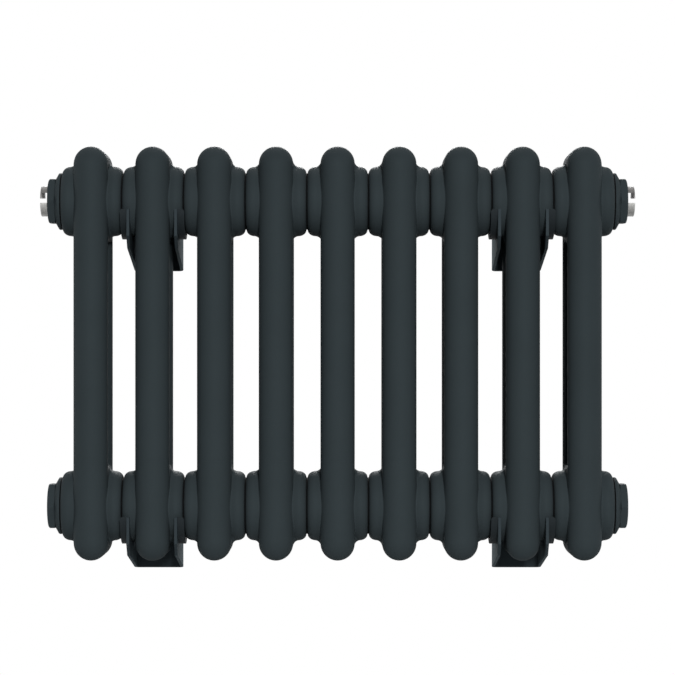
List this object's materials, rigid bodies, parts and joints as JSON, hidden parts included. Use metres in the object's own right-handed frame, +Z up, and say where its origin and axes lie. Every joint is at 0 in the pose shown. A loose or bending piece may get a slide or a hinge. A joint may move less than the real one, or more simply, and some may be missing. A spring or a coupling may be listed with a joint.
{
  "type": "radiator with valve",
  "caption": "Low two-column sectional radiator in anthracite with end bushes, a slotted air vent and blanking plug, on folded wall brackets.",
  "frame": {"origin": "centre of the four main bolt holes of the wall brackets, on the wall's surface", "axes": "+X along the radiator to the blanking plug's end, -Y out of the wall into the room, +Z up"},
  "size_m": [0.436, 0.0835, 0.3129],
  "materials": {
    "radiator_paint": "matt anthracite powder coat",
    "bush_paint": "matt anthracite powder coat",
    "bracket_paint": "matt anthracite powder coat on folded sheet",
    "nipple_steel": "zinc plated",
    "seal_rubber": "matt black rubber",
    "nickel": "satin nickel plate",
    "liner_plastic": "matt dark grey nylon"
  },
  "bodies": {
    "radiator": {"section_1_bottom_head": "radiator_paint", "section_1_top_head": "radiator_paint", "section_2_bottom_head": "radiator_paint", "section_2_top_head": "radiator_paint", "section_3_bottom_head": "radiator_paint", "section_3_top_head": "radiator_paint", "section_4_bottom_head": "radiator_paint", "section_4_top_head": "radiator_paint", "section_5_bottom_head": "radiator_paint", "section_5_top_head": "radiator_paint", "section_6_bottom_head": "radiator_paint", "section_6_top_head": "radiator_paint", "section_7_bottom_head": "radiator_paint", "section_7_top_head": "radiator_paint", "section_8_bottom_head": "radiator_paint", "section_8_top_head": "radiator_paint", "section_9_bottom_head": "radiator_paint", "section_9_top_head": "radiator_paint", "section_1_front_column": "radiator_paint", "section_1_rear_column": "radiator_paint", "section_2_front_column": "radiator_paint", "section_2_rear_column": "radiator_paint", "section_3_front_column": "radiator_paint", "section_3_rear_column": "radiator_paint", "section_4_front_column": "radiator_paint", "section_4_rear_column": "radiator_paint", "section_5_front_column": "radiator_paint", "section_5_rear_column": "radiator_paint", "section_6_front_column": "radiator_paint", "section_6_rear_column": "radiator_paint", "section_7_front_column": "radiator_paint", "section_7_rear_column": "radiator_paint", "section_8_front_column": "radiator_paint", "section_8_rear_column": "radiator_paint", "section_9_front_column": "radiator_paint", "section_9_rear_column": "radiator_paint", "bottom_nipples": "nipple_steel", "top_nipples": "nipple_steel", "bottom_gaskets": "seal_rubber", "top_gaskets": "seal_rubber", "bottom_left_bush": "bush_paint", "bottom_right_bush": "bush_paint", "top_left_bush": "bush_paint", "top_right_bush": "bush_paint", "bush_gaskets": "seal_rubber", "vent_body": "nickel", "vent_seal_ring": "seal_rubber", "blank_plug": "nickel", "plug_seal_ring": "seal_rubber", "bottom_left_bracket": "bracket_paint", "bottom_right_bracket": "bracket_paint", "top_left_bracket": "bracket_paint", "top_right_bracket": "bracket_paint", "bottom_left_liners": "liner_plastic", "bottom_right_liners": "liner_plastic", "top_left_liners": "liner_plastic", "top_right_liners": "liner_plastic"},
    "vent_pad_slider": {"vent_pad": "seal_rubber"},
    "bleed_screw": {"bleed_screw": "nickel"}
  },
  "joints": [
    {"name": "bleed_screw_lift", "type": "slide", "parent": "radiator", "child": "vent_pad_slider", "axis": [-1, 0, 0], "range_m": [0, 0.001]},
    {"name": "bleed_screw_turn", "type": "hinge", "parent": "vent_pad_slider", "child": "bleed_screw", "pos_m": [-0.2124, -0.051, 0.112], "axis": [-1, 0, 0], "range_deg": [0, 360]}
  ],
  "couplings": [
    {"joint": "bleed_screw_turn", "follows": "bleed_screw_lift", "rad_per_m": 6283.2}
  ]
}
